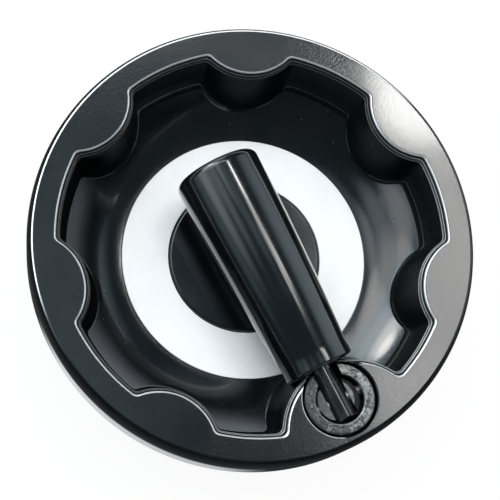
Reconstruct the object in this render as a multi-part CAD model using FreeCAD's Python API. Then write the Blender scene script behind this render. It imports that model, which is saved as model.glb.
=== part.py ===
import FreeCAD, Part
import math
import os

# A machine handwheel with a lobed rim, a dished web and a revolving handle that folds into the dish.
# The origin is the centre of the hub's back face. +Z points to the front, and the handle's lobe is on +X.
# Lengths are in millimetres and angles in degrees. The handle is modelled folded, which is its rest.

# Rim and lobes
wheel_dia = 160.0
wheel_height = 52.0
rim_depth = 24.0
rim_band = 10.0
rim_front_round = 2.2
rim_back_round = 4.0
lobe_count = 7
lobe_round = 20.0
lobe_reach = 8.3
lobe_corner_round = 2.6
socket_lobe_round = 24.7
socket_nose = 11.5
lip_chamfer = 0.4
lip_depth = 1.3
lip_step = 0.7
wall_draft = 10.8

# Dished web
dish_edge_inset = 4.0
dish_edge_depth = 18.0
dish_sag = 0.8
web_thickness = 6.0

# Aluminium face ring
ring_face_depth = 28.7
ring_band = 17.0
ring_lobe_gap = 0.32
ring_thickness = 1.5
ring_gap = 0.15

# Hub, its steel bush and its set screw
hub_dia = 46.0
hub_corner_chamfer = 1.0
hub_root_round = 4.0
bore_dia = 16.0
bush_dia = 28.0
bush_groove_width = 5.0
bush_groove_depth = 1.2
keyway_width = 5.0
keyway_depth = 2.3
set_screw_dia = 6.0
set_screw_length = 8.0
set_screw_hex = 3.0
set_screw_hex_depth = 2.5
set_screw_shaft_gap = 0.6
set_screw_hole_gap = 0.3

# Centre cap
cap_gap = 0.4
cap_thickness = 2.9
cap_stand = 0.6
cap_edge_round = 0.9
cap_skirt_inset = 7.4
cap_skirt_wall = 1.4
cap_skirt_length = 1.7
cap_press_gap = 0.1
cap_foot_gap = 0.3

# Pivot socket: pocket, sleeve, fork and hinge pin
pivot_depth = 6.0
socket_wall = 3.3
pocket_gap = 0.9
pocket_depth = 17.8
sleeve_dia = 25.0
sleeve_bore_dia = 17.4
sleeve_sink = 0.6
sleeve_edge_round = 0.5
sleeve_slot_width = 9.6
fork_face_dia = 14.8
fork_face_sink = 3.2
fork_groove_depth = 3.5
fork_slot_gap = 0.25
slot_floor_gap = 0.8
spindle_notch_gap = 1.0
pin_dia = 3.6
pin_end_gap = 0.3

# Stud, washer and nut behind the lobe
stud_dia = 10.0
stud_hole_gap = 0.2
stud_end = 1.5
stud_chamfer = 0.8
washer_dia = 20.0
washer_gap = 0.25
washer_thickness = 2.0
nut_width = 16.0
nut_height = 5.0
hexagon_side_count = 6
spot_face_gap = 0.8

# Detent plunger and spring, in the fork's stud
plunger_dia = 4.3
plunger_length = 5.0
plunger_gap = 0.3
plunger_crown = 0.5
detent_bore_depth = 13.5
spring_wire_dia = 0.6
spring_mean_dia = 3.3
spring_turns = 6.0
spring_end_gap = 0.05

# Spindle, measured from the hinge pin toward the grip's end
spindle_dia = 8.0
spindle_tail_gap = 1.0
spindle_eye_gap = 0.5
collar_dia = 11.0
collar_width = 1.4
clip_groove_dia = 6.6
clip_dia = 11.6
clip_thickness = 0.9
clip_opening = 4.6
thrust_washer_dia = 14.0
thrust_washer_thickness = 0.8
spindle_end_round = 0.6

# Grip
grip_sleeve_gap = 0.5
grip_length = 81.0
grip_dia = 31.5
grip_waist_dia = 25.2
grip_root_dia = 25.8
grip_flare_length = 4.5
grip_root_round = 0.3
grip_end_round = 3.0
grip_crown = 0.7
grip_bore_depth = 62.0
nose_gap = 0.5
nose_side_gap = 1.0

# Grip bearings
grip_bush_dia = 16.0
front_bush_length = 16.0
front_bush_counterbore = 1.7
counterbore_gap = 0.3
rear_bush_length = 8.0
rear_bush_floor_gap = 4.0
spindle_overhang = 0.5

# Clearances that several pieces share
running_gap = 0.05
fixed_gap = 0.02
thread_gap = 0.03
face_gap = 0.1
cut_margin = 2.0

# Places worked out from the sizes above
wheel_radius = wheel_dia / 2
rim_back = wheel_height - rim_depth
contour_radius = wheel_radius - rim_band
ring_face = wheel_height - ring_face_depth
ring_seat = ring_face - ring_thickness
pocket_dia = sleeve_dia + 2 * pocket_gap
pivot_radius = wheel_radius - socket_wall - pocket_dia / 2
socket_lobe_tip = pivot_radius - socket_nose
lip_foot = wheel_height - lip_depth
wall_slope = math.tan(math.radians(wall_draft))
ring_wall_inset = lip_step + (lip_foot - ring_face) * wall_slope
ring_recess_radius = socket_lobe_tip - ring_wall_inset - ring_lobe_gap
ring_dia = 2 * (ring_recess_radius - ring_gap)
ring_bore_dia = ring_dia - 2 * ring_band
cap_dia = ring_bore_dia - 2 * cap_gap
cap_skirt_dia = cap_dia - 2 * cap_skirt_inset
cap_top = ring_face + cap_stand
cap_seat = cap_top - cap_thickness
bush_length = cap_seat - cap_skirt_length - cap_foot_gap
dish_edge_radius = contour_radius - dish_edge_inset
dish_edge = wheel_height - dish_edge_depth
web_back = ring_seat - web_thickness
set_screw_height = web_back / 2
pivot_height = wheel_height - pivot_depth
pocket_floor = wheel_height - pocket_depth
sleeve_top = wheel_height - sleeve_sink
fork_face = wheel_height - fork_face_sink
fork_shoulder = fork_face - fork_groove_depth
fork_dia = sleeve_bore_dia - 2 * running_gap
fork_slot_width = spindle_dia + 2 * fork_slot_gap
spindle_tail = sleeve_bore_dia / 2 - spindle_tail_gap
grip_root_gap = sleeve_dia / 2 + grip_sleeve_gap
grip_bore_dia = grip_bush_dia + 2 * fixed_gap
slot_floor = pivot_height - spindle_tail - slot_floor_gap
spindle_notch_floor = pivot_height - spindle_dia / 2 - spindle_notch_gap
washer_face = rim_back - washer_thickness
nut_face = washer_face - nut_height
stud_tip = nut_face - stud_end
plunger_top = pivot_height - spindle_tail - plunger_gap
detent_bore_floor = slot_floor - detent_bore_depth
detent_bore_dia = plunger_dia + 2 * running_gap
grip_end = grip_root_gap + grip_length
front_bush_end = grip_root_gap + front_bush_length
collar_start = grip_root_gap + front_bush_counterbore - face_gap - collar_width
thrust_washer_start = front_bush_end + running_gap
clip_start = thrust_washer_start + thrust_washer_thickness + running_gap
rear_bush_start = grip_root_gap + grip_bore_depth - rear_bush_floor_gap - rear_bush_length
spindle_end = rear_bush_start + rear_bush_length + spindle_overhang

PIVOT = FreeCAD.Vector(pivot_radius, 0, pivot_height)
ORIGIN = FreeCAD.Vector(0, 0, 0)
AXIS_X = FreeCAD.Vector(1, 0, 0)
AXIS_Y = FreeCAD.Vector(0, 1, 0)
AXIS_Z = FreeCAD.Vector(0, 0, 1)


# Drawing helpers: outlines lie in the XZ plane, as pairs of radius and height

def point(radius, height):
    return FreeCAD.Vector(radius, 0, height)


def line(start, end):
    return Part.makeLine(start, end)


def arc(start, middle, end):
    return Part.Arc(start, middle, end).toShape()


def corner_arc(start, end, centre):
    """A quarter round between two points at the same distance from the centre."""
    reach = (start - centre).Length
    chord_middle = (start + end) * 0.5
    middle = centre + (chord_middle - centre).normalize() * reach
    return arc(start, middle, end)


def turned(edges):
    """A solid of revolution about Z from a closed outline."""
    outline = Part.Wire(edges)
    return Part.Face(outline).revolve(ORIGIN, AXIS_Z, 360)


def turned_polygon(corners):
    points = [point(radius, height) for radius, height in corners]
    closed = points + [points[0]]
    return turned([line(a, b) for a, b in zip(closed, closed[1:])])


def rod(diameter, start, end):
    """A round bar on the Z axis between two heights."""
    return Part.makeCylinder(diameter / 2, end - start, point(0, start), AXIS_Z)


def tube(outer_dia, inner_dia, start, end):
    return rod(outer_dia, start, end).cut(rod(inner_dia, start, end))


def block(x_low, x_high, width, z_low, z_high):
    """A box that is centred on Y."""
    corner = FreeCAD.Vector(x_low, -width / 2, z_low)
    return Part.makeBox(x_high - x_low, width, z_high - z_low, corner)


def hexagon_bar(width, start, end):
    """A hexagonal bar on the Z axis, by its width across flats."""
    corner_radius = width / math.sqrt(3)
    side = 2 * math.pi / hexagon_side_count
    angles = [side * step for step in range(hexagon_side_count + 1)]
    corners = [FreeCAD.Vector(corner_radius * math.cos(a), corner_radius * math.sin(a), start) for a in angles]
    face = Part.Face(Part.makePolygon(corners))
    return face.extrude(FreeCAD.Vector(0, 0, end - start))


def at_pivot(shape):
    """Moves a piece from the Z axis to the socket's axis."""
    moved = shape.copy()
    moved.translate(FreeCAD.Vector(pivot_radius, 0, 0))
    return moved


def along_handle(shape):
    """Lays a piece drawn on +Z from the hinge pin along the folded handle, toward the wheel's centre."""
    laid = shape.copy()
    laid.rotate(ORIGIN, AXIS_Y, -90)
    laid.translate(PIVOT)
    return laid


def cross_hole(diameter, half_length):
    """A round bar along Y through the hinge axis."""
    start = FreeCAD.Vector(pivot_radius, -half_length, pivot_height)
    return Part.makeCylinder(diameter / 2, 2 * half_length, start, AXIS_Y)


# The lobed inner outline of the rim

def lobe_size(index):
    """Distance of the lobe's round from the wheel axis, and its radius. Lobe 0 carries the socket."""
    if index == 0:
        return socket_lobe_tip + socket_lobe_round, socket_lobe_round
    return contour_radius - lobe_reach + lobe_round, lobe_round


def lobe_edges(index, height, inset):
    """One lobe's outline: corner round, lobe round and corner round, and its two end points."""
    centre_distance, base_round = lobe_size(index)
    bump_radius = base_round + inset
    ring_radius = contour_radius - inset
    corner_distance = ring_radius - lobe_corner_round
    bump_distance = bump_radius + lobe_corner_round
    cosine = corner_distance ** 2 + centre_distance ** 2 - bump_distance ** 2
    spread = math.acos(cosine / (2 * corner_distance * centre_distance))
    turn = 2 * math.pi * index / lobe_count

    def polar(radius, angle):
        return FreeCAD.Vector(radius * math.cos(angle), radius * math.sin(angle), height)

    bump_centre = polar(centre_distance, turn)
    tip = polar(centre_distance - bump_radius, turn)
    sides = []
    for side in (-1, 1):
        corner_centre = polar(corner_distance, turn + side * spread)
        on_ring = polar(ring_radius, turn + side * spread)
        toward_corner = (corner_centre - bump_centre).normalize()
        on_bump = bump_centre + toward_corner * bump_radius
        sides.append((on_ring, corner_arc(on_ring, on_bump, corner_centre), on_bump))
    first, last = sides
    bump = arc(first[2], tip, last[2])
    closing = corner_arc(last[2], last[0], polar(corner_distance, turn + spread))
    return [first[1], bump, closing], first[0], last[0]


def lobed_outline(height, inset):
    """The whole inner outline at a height, set in from the outline at the rim's face."""
    lobes = [lobe_edges(index, height, inset) for index in range(lobe_count)]
    ring_radius = contour_radius - inset
    edges = []
    for index, (parts, _, end) in enumerate(lobes):
        next_start = lobes[(index + 1) % lobe_count][1]
        angle = 2 * math.pi * (index + 0.5) / lobe_count
        if index == 0 or index == lobe_count - 1:
            angle = middle_angle(end, next_start)
        middle = FreeCAD.Vector(ring_radius * math.cos(angle), ring_radius * math.sin(angle), height)
        edges.extend(parts)
        edges.append(arc(end, middle, next_start))
    return Part.Wire(edges)


def middle_angle(start, end):
    """The direction halfway between two points, seen from the wheel axis."""
    return math.atan2(start.y + end.y, start.x + end.x)


def lobed_prism(low, high, low_inset, high_inset):
    """The space inside the lobed outline between two heights."""
    outlines = [lobed_outline(low, low_inset), lobed_outline(high, high_inset)]
    return Part.makeLoft(outlines, True, True)


# The wheel body

def dish_curve():
    """The three points of the web's hollow front, from the ring's edge to the foot of the rim."""
    inner = point(ring_recess_radius, ring_face)
    outer = point(dish_edge_radius, dish_edge)
    across = (outer - inner).normalize()
    middle = (inner + outer) * 0.5 + point(across.z, -across.x) * dish_sag
    return inner, middle, outer


def underside_line():
    """The web's sloping back: where it leaves the flat back, and where it meets the rim's back."""
    inner, _, outer = dish_curve()
    across = (outer - inner).normalize()
    shift = point(across.z, -across.x) * (web_thickness + dish_sag)
    low = inner + shift
    slope = across.x / across.z
    start_radius = low.x + (web_back - low.z) * slope
    end_radius = low.x + (rim_back - low.z) * slope
    return start_radius, end_radius


def wheel_blank():
    """The outside of the wheel, turned: hub, back of the web and rim, filled to the rim's face."""
    hub_radius = hub_dia / 2
    slope_start, slope_end = underside_line()
    corners = [
        point(0, 0),
        point(hub_radius - hub_corner_chamfer, 0),
        point(hub_radius, hub_corner_chamfer),
        point(hub_radius, web_back - hub_root_round),
        point(hub_radius + hub_root_round, web_back),
        point(slope_start, web_back),
        point(slope_end, rim_back),
        point(wheel_radius - rim_back_round, rim_back),
        point(wheel_radius, rim_back + rim_back_round),
        point(wheel_radius, wheel_height - rim_front_round),
        point(wheel_radius - rim_front_round, wheel_height),
        point(0, wheel_height),
    ]
    rounds = {
        3: point(hub_radius + hub_root_round, web_back - hub_root_round),
        7: point(wheel_radius - rim_back_round, rim_back + rim_back_round),
        9: point(wheel_radius - rim_front_round, wheel_height - rim_front_round),
    }
    edges = []
    for index, start in enumerate(corners):
        end = corners[(index + 1) % len(corners)]
        if index in rounds:
            edges.append(corner_arc(start, end, rounds[index]))
        else:
            edges.append(line(start, end))
    return turned(edges)


def bowl_space():
    """The space in front of the web, turned: cap recess, ring recess and hollow web."""
    inner, middle, outer = dish_curve()
    top = wheel_height + cut_margin
    far = wheel_radius + cut_margin
    recess_radius = cap_skirt_dia / 2 + cap_press_gap
    cap_recess_radius = ring_bore_dia / 2
    steps = [
        point(far, dish_edge),
        point(far, top),
        point(0, top),
        point(0, bush_length),
        point(recess_radius, bush_length),
        point(recess_radius, cap_seat),
        point(cap_recess_radius, cap_seat),
        point(cap_recess_radius, ring_seat),
        point(ring_recess_radius, ring_seat),
        inner,
    ]
    edges = [arc(inner, middle, outer), line(outer, steps[0])]
    edges.extend(line(a, b) for a, b in zip(steps, steps[1:]))
    return turned(edges)


def dish_space():
    """What is hollow inside the rim: the bowl, bounded by the lip and the drafted lobed wall."""
    bottom = bush_length - cut_margin
    deep_inset = lip_step + (lip_foot - bottom) * wall_slope
    wall = lobed_prism(bottom, lip_foot, deep_inset, lip_step)
    lip = lobed_prism(lip_foot, wheel_height - lip_chamfer, 0, 0)
    chamfer = lobed_prism(wheel_height - lip_chamfer, wheel_height + lip_chamfer, 0, -2 * lip_chamfer)
    bowl = bowl_space()
    return [bowl.common(space) for space in (wall, lip, chamfer)]


def bush_outside():
    """The steel bush's outside, with the groove that the moulding grips."""
    groove_low = (bush_length - bush_groove_width) / 2
    groove_high = (bush_length + bush_groove_width) / 2
    outer = bush_dia / 2
    inner = outer - bush_groove_depth
    return turned_polygon([
        (0, 0),
        (outer, 0),
        (outer, groove_low),
        (inner, groove_low),
        (inner, groove_high),
        (outer, groove_high),
        (outer, bush_length),
        (0, bush_length),
    ])


def radial_bar(diameter, start_radius, end_radius):
    """A round bar along -X at the set screw's height."""
    start = FreeCAD.Vector(-start_radius, 0, set_screw_height)
    return Part.makeCylinder(diameter / 2, end_radius - start_radius, start, AXIS_X * -1)


def wheel_body():
    body = wheel_blank()
    for space in dish_space():
        body = body.cut(space)
    body = body.cut(bush_outside())
    pocket = at_pivot(rod(pocket_dia, pocket_floor, wheel_height + cut_margin))
    stud_hole = at_pivot(rod(stud_dia + 2 * stud_hole_gap, 0, wheel_height))
    spot_face = at_pivot(rod(washer_dia + 2 * spot_face_gap, 0, rim_back))
    notch_start = pivot_radius - pocket_dia
    notch = block(notch_start, pivot_radius, sleeve_slot_width, spindle_notch_floor, wheel_height + cut_margin)
    nose_dia = grip_root_dia + 2 * nose_side_gap
    nose = along_handle(rod(nose_dia, grip_root_gap - nose_gap, grip_root_gap + pocket_dia / 2))
    screw_hole = radial_bar(set_screw_dia + 2 * set_screw_hole_gap, bore_dia / 2, hub_dia)
    for hollow in (pocket, stud_hole, spot_face, notch, nose, screw_hole):
        body = body.cut(hollow)
    return body


# Hub pieces

def hub_bush():
    bush = bush_outside()
    bore = rod(bore_dia, -cut_margin, bush_length + cut_margin)
    key_reach = bore_dia / 2 + keyway_depth
    keyway = block(0, key_reach, keyway_width, -cut_margin, bush_length + cut_margin)
    thread = radial_bar(set_screw_dia, 0, bush_dia)
    return bush.cut(bore).cut(keyway).cut(thread)


def hub_set_screw():
    inner_end = bore_dia / 2 + set_screw_shaft_gap
    outer_end = inner_end + set_screw_length
    screw = radial_bar(set_screw_dia - 2 * thread_gap, inner_end, outer_end)
    key_socket = hexagon_bar(set_screw_hex, 0, set_screw_hex_depth)
    key_socket.rotate(ORIGIN, AXIS_Y, 90)
    key_socket.translate(FreeCAD.Vector(-outer_end, 0, set_screw_height))
    return screw.cut(key_socket)


def face_ring():
    return tube(ring_dia, ring_bore_dia, ring_seat, ring_face)


def centre_cap():
    """A disc with a rounded edge, and a short skirt that presses into the hub's recess."""
    radius = cap_dia / 2
    flat = radius - cap_edge_round
    skirt_outer = cap_skirt_dia / 2
    skirt_inner = skirt_outer - cap_skirt_wall
    skirt_foot = cap_seat - cap_skirt_length
    corners = [
        point(0, cap_top),
        point(0, cap_seat),
        point(skirt_inner, cap_seat),
        point(skirt_inner, skirt_foot),
        point(skirt_outer, skirt_foot),
        point(skirt_outer, cap_seat),
        point(radius, cap_seat),
        point(radius, cap_top - cap_edge_round),
    ]
    edges = [line(a, b) for a, b in zip(corners, corners[1:])]
    edge_end = point(flat, cap_top)
    edges.append(corner_arc(corners[-1], edge_end, point(flat, cap_top - cap_edge_round)))
    edges.append(line(edge_end, corners[0]))
    return turned(edges)


# Pivot socket

def pivot_sleeve():
    """A round sleeve in the lobe's pocket, open on the side where the spindle lies when folded."""
    outer = sleeve_dia / 2
    inner = sleeve_bore_dia / 2
    rounded = outer - sleeve_edge_round
    corners = [
        point(rounded, sleeve_top),
        point(inner, sleeve_top),
        point(inner, pocket_floor),
        point(outer, pocket_floor),
        point(outer, sleeve_top - sleeve_edge_round),
    ]
    edges = [line(a, b) for a, b in zip(corners, corners[1:])]
    edges.append(corner_arc(corners[-1], corners[0], point(rounded, sleeve_top - sleeve_edge_round)))
    sleeve = at_pivot(turned(edges))
    opening_start = pivot_radius - sleeve_dia
    opening = block(opening_start, pivot_radius, sleeve_slot_width, spindle_notch_floor, wheel_height)
    return sleeve.cut(opening).cut(cross_hole(pin_dia + 2 * fixed_gap, sleeve_dia))


def pivot_fork():
    """A turned block with a slot for the spindle, and a stud that goes through the lobe's floor."""
    stud = stud_dia / 2
    fork = turned_polygon([
        (0, stud_tip),
        (stud - stud_chamfer, stud_tip),
        (stud, stud_tip + stud_chamfer),
        (stud, pocket_floor),
        (fork_dia / 2, pocket_floor),
        (fork_dia / 2, fork_shoulder),
        (fork_face_dia / 2, fork_shoulder),
        (fork_face_dia / 2, fork_face),
        (0, fork_face),
    ])
    slot = block(-fork_dia, fork_dia, fork_slot_width, slot_floor, wheel_height)
    detent_bore = rod(detent_bore_dia, detent_bore_floor, slot_floor)
    fork = at_pivot(fork.cut(slot).cut(detent_bore))
    return fork.cut(cross_hole(pin_dia + 2 * fixed_gap, fork_dia))


def hinge_pin():
    return cross_hole(pin_dia, sleeve_dia / 2 - pin_end_gap)


def fork_washer():
    return at_pivot(tube(washer_dia, stud_dia + 2 * washer_gap, washer_face, rim_back))


def fork_nut():
    nut = hexagon_bar(nut_width, nut_face, washer_face)
    bore = rod(stud_dia + 2 * thread_gap, nut_face, washer_face)
    return at_pivot(nut.cut(bore))


def detent_plunger():
    """A small steel plunger with a crowned head, under the spindle's eye."""
    radius = plunger_dia / 2
    crown_foot = plunger_top - plunger_crown
    foot = plunger_top - plunger_length
    corners = [point(0, foot), point(radius, foot), point(radius, crown_foot)]
    crown_radius = (radius ** 2 + plunger_crown ** 2) / (2 * plunger_crown)
    half_angle = math.asin(radius / crown_radius) / 2
    drop = crown_radius * (1 - math.cos(half_angle))
    halfway = point(crown_radius * math.sin(half_angle), plunger_top - drop)
    crown = arc(corners[2], halfway, point(0, plunger_top))
    closing = line(point(0, plunger_top), corners[0])
    return at_pivot(turned([line(corners[0], corners[1]), line(corners[1], corners[2]), crown, closing]))


def detent_spring():
    """A coil spring between the bore's floor and the plunger's foot."""
    radius = spring_mean_dia / 2
    low = detent_bore_floor + spring_wire_dia / 2 + spring_end_gap
    high = plunger_top - plunger_length - spring_wire_dia / 2 - spring_end_gap
    height = high - low
    helix = Part.makeHelix(height / spring_turns, height, radius)
    section = Part.makeCircle(spring_wire_dia / 2, FreeCAD.Vector(radius, 0, 0), AXIS_Y)
    coil = Part.Wire(helix.Edges).makePipeShell([Part.Wire(section)], True, True)
    coil.translate(FreeCAD.Vector(0, 0, low))
    return at_pivot(coil)


# Handle pieces, drawn on +Z from the hinge pin and then laid along the folded handle

def spindle():
    """The steel rod: rounded eye end, collar, groove for the clip, and a plain bearing length."""
    shaft = rod(spindle_dia, -spindle_tail, spindle_end)
    shaft = shaft.fuse(rod(collar_dia, collar_start, collar_start + collar_width)).removeSplitter()
    groove = tube(collar_dia, clip_groove_dia, clip_start, clip_start + clip_thickness + face_gap)
    eye_start = FreeCAD.Vector(0, -spindle_dia, 0)
    eye_round = Part.makeCylinder(spindle_tail, 2 * spindle_dia, eye_start, AXIS_Y)
    eye_ball = Part.makeSphere(spindle_tail + spindle_eye_gap)
    tail_waste = block(-spindle_dia, spindle_dia, 2 * spindle_dia, -2 * spindle_dia, 0)
    tail_waste = tail_waste.cut(eye_round.common(eye_ball))
    pin_hole = Part.makeCylinder(pin_dia / 2 + running_gap, 2 * spindle_dia, eye_start, AXIS_Y)
    shaft = shaft.cut(groove).cut(tail_waste).cut(pin_hole)
    end_rim = [edge for edge in shaft.Edges if edge.BoundBox.ZMin > spindle_end - face_gap]
    shaft = shaft.makeChamfer(spindle_end_round, end_rim)
    return along_handle(shaft)


def thrust_washer():
    bore = spindle_dia + 2 * running_gap
    end = thrust_washer_start + thrust_washer_thickness
    return along_handle(tube(thrust_washer_dia, bore, thrust_washer_start, end))


def spindle_clip():
    """An open spring ring in the spindle's groove."""
    end = clip_start + clip_thickness
    ring = tube(clip_dia, clip_groove_dia + 2 * fixed_gap, clip_start, end)
    return along_handle(ring.cut(block(0, clip_dia, clip_opening, clip_start, end)))


def grip():
    """A barrel that swells toward its crowned end, with a flared root and a deep bore."""
    root = grip_root_dia / 2
    waist = grip_waist_dia / 2
    full = grip_dia / 2
    barrel_start = grip_root_gap + grip_flare_length
    barrel_end = grip_end - grip_end_round
    run = barrel_end - barrel_start
    swell_radius = (run ** 2 + (full - waist) ** 2) / (2 * (full - waist))
    swell_middle = full - swell_radius + math.sqrt(swell_radius ** 2 - (run / 2) ** 2)
    bore = grip_bore_dia / 2
    face = full - grip_end_round
    bore_floor = grip_root_gap + grip_bore_depth
    crown_radius = (face ** 2 + grip_crown ** 2) / (2 * grip_crown)
    crown_middle = grip_end + grip_crown - crown_radius + math.sqrt(crown_radius ** 2 - (face / 2) ** 2)
    rim = point(root - grip_root_round, grip_root_gap)
    flare = point(root, grip_root_gap + grip_root_round)
    edges = [
        line(point(0, bore_floor), point(bore, bore_floor)),
        line(point(bore, bore_floor), point(bore, grip_root_gap)),
        line(point(bore, grip_root_gap), rim),
        corner_arc(rim, flare, point(rim.x, flare.z)),
        line(flare, point(waist, barrel_start)),
        arc(point(waist, barrel_start), point(swell_middle, barrel_end - run / 2), point(full, barrel_end)),
        corner_arc(point(full, barrel_end), point(face, grip_end), point(face, barrel_end)),
        arc(point(face, grip_end), point(face / 2, crown_middle), point(0, grip_end + grip_crown)),
        line(point(0, grip_end + grip_crown), point(0, bore_floor)),
    ]
    return along_handle(turned(edges))


def grip_front_bush():
    """The bearing at the grip's root, with a counterbore that hides the spindle's collar."""
    bush = tube(grip_bush_dia, spindle_dia + 2 * running_gap, grip_root_gap, front_bush_end)
    counterbore_end = grip_root_gap + front_bush_counterbore
    counterbore = rod(collar_dia + 2 * counterbore_gap, grip_root_gap, counterbore_end)
    return along_handle(bush.cut(counterbore))


def grip_rear_bush():
    end = rear_bush_start + rear_bush_length
    return along_handle(tube(grip_bush_dia, spindle_dia + 2 * running_gap, rear_bush_start, end))


PIECES = {
    "wheel_body": wheel_body,
    "hub_bush": hub_bush,
    "hub_set_screw": hub_set_screw,
    "face_ring": face_ring,
    "centre_cap": centre_cap,
    "pivot_sleeve": pivot_sleeve,
    "pivot_fork": pivot_fork,
    "hinge_pin": hinge_pin,
    "fork_washer": fork_washer,
    "fork_nut": fork_nut,
    "detent_plunger": detent_plunger,
    "detent_spring": detent_spring,
    "spindle": spindle,
    "thrust_washer": thrust_washer,
    "spindle_clip": spindle_clip,
    "grip": grip,
    "grip_front_bush": grip_front_bush,
    "grip_rear_bush": grip_rear_bush,
}

os.makedirs("parts", exist_ok=True)
for name, build in PIECES.items():
    piece = build()
    piece.exportStep(os.path.join("parts", name + ".step"))
    print(name, piece.isValid(), len(piece.Solids), round(piece.Volume, 2))
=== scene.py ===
import logging
import math
from dataclasses import dataclass
from enum import Enum
from typing import Sequence, Union

import bmesh
import bpy
from mathutils import Matrix, Vector, noise


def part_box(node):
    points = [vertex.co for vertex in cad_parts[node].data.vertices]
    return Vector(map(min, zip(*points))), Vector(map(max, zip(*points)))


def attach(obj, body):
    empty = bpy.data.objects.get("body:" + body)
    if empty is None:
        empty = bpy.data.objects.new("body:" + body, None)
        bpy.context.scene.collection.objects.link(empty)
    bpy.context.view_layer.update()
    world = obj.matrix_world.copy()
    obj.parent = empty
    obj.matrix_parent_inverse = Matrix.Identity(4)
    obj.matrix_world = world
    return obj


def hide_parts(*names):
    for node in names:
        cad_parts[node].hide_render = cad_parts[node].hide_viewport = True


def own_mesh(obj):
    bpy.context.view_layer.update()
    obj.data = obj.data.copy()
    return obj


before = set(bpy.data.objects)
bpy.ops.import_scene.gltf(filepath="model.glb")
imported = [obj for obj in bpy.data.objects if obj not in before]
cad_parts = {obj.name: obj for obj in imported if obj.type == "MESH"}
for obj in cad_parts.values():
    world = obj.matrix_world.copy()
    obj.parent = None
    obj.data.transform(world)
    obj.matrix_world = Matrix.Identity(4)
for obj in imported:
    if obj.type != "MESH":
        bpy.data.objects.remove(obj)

# A machine handwheel: lobed phenolic rim, dished web, aluminium face ring and a folding revolving grip.
# Sizes are in millimetres, in the frame of the CAD model: +Z is the front of the wheel, the bore is on the
# Z axis and the socket of the handle is on +X.

LOG = logging.getLogger("handwheel")
MM = 0.001
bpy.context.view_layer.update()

Point2 = tuple[float, float]
Point3 = tuple[float, float, float]
Span = tuple[float, float]
Colour = tuple[float, float, float, float]
Term = Union["Wire", float]

ROD_SEGMENTS = 48
PIVOT_X = 63.3
HINGE_HEIGHT = 46.0
AT_PIVOT = Matrix.Translation((PIVOT_X, 0.0, 0.0))
AT_HINGE = Matrix.Translation((PIVOT_X, 0.0, HINGE_HEIGHT))
TO_THE_HUB = Matrix.Rotation(math.radians(-90), 4, "Y")
TO_THE_SIDE = Matrix.Rotation(math.radians(90), 4, "X")


def grey(level: float) -> Colour:
    """A neutral grey."""
    return (level, level, level, 1.0)


# Node sheets

class Wire:
    """A node's output, with the arithmetic that the finishes use."""

    def __init__(self, sheet: "Sheet", node: bpy.types.Node, output: Union[int, str] = 0) -> None:
        """Points to one output of a node."""
        self.sheet = sheet
        self.node = node
        self.output = output

    @property
    def socket(self) -> bpy.types.NodeSocket:
        """The output's socket."""
        return self.node.outputs[self.output]

    def maths(self, operation: str, *terms: Term) -> "Wire":
        """Adds a Math node with its terms in order."""
        return self.sheet.node("ShaderNodeMath", {"operation": operation}, dict(enumerate(terms)))

    def __add__(self, other: Term) -> "Wire":
        """self + other."""
        return self.maths("ADD", self, other)

    def __radd__(self, other: float) -> "Wire":
        """other + self."""
        return self.maths("ADD", other, self)

    def __sub__(self, other: Term) -> "Wire":
        """self - other."""
        return self.maths("SUBTRACT", self, other)

    def __rsub__(self, other: float) -> "Wire":
        """other - self."""
        return self.maths("SUBTRACT", other, self)

    def __mul__(self, other: Term) -> "Wire":
        """self * other."""
        return self.maths("MULTIPLY", self, other)

    def __rmul__(self, other: float) -> "Wire":
        """other * self."""
        return self.maths("MULTIPLY", other, self)

    def hypot(self, other: "Wire") -> "Wire":
        """The length of a vector with these two parts."""
        return self.maths("SQRT", self * self + other * other)

    def clip(self) -> "Wire":
        """Holds the value between 0 and 1."""
        return self.maths("MAXIMUM", self.maths("MINIMUM", self, 1.0), 0.0)

    def step(self, low: float, high: float) -> "Wire":
        """Rises smoothly from 0 at low to 1 at high.

        Args:
            low: The value that gives 0.
            high: The value that gives 1, which may be under low.

        Returns:
            The smooth step.
        """
        settings = {"interpolation_type": "SMOOTHSTEP"}
        inputs = {"Value": self, "From Min": low, "From Max": high, "To Min": 0.0, "To Max": 1.0}
        return self.sheet.node("ShaderNodeMapRange", settings, inputs)


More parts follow.
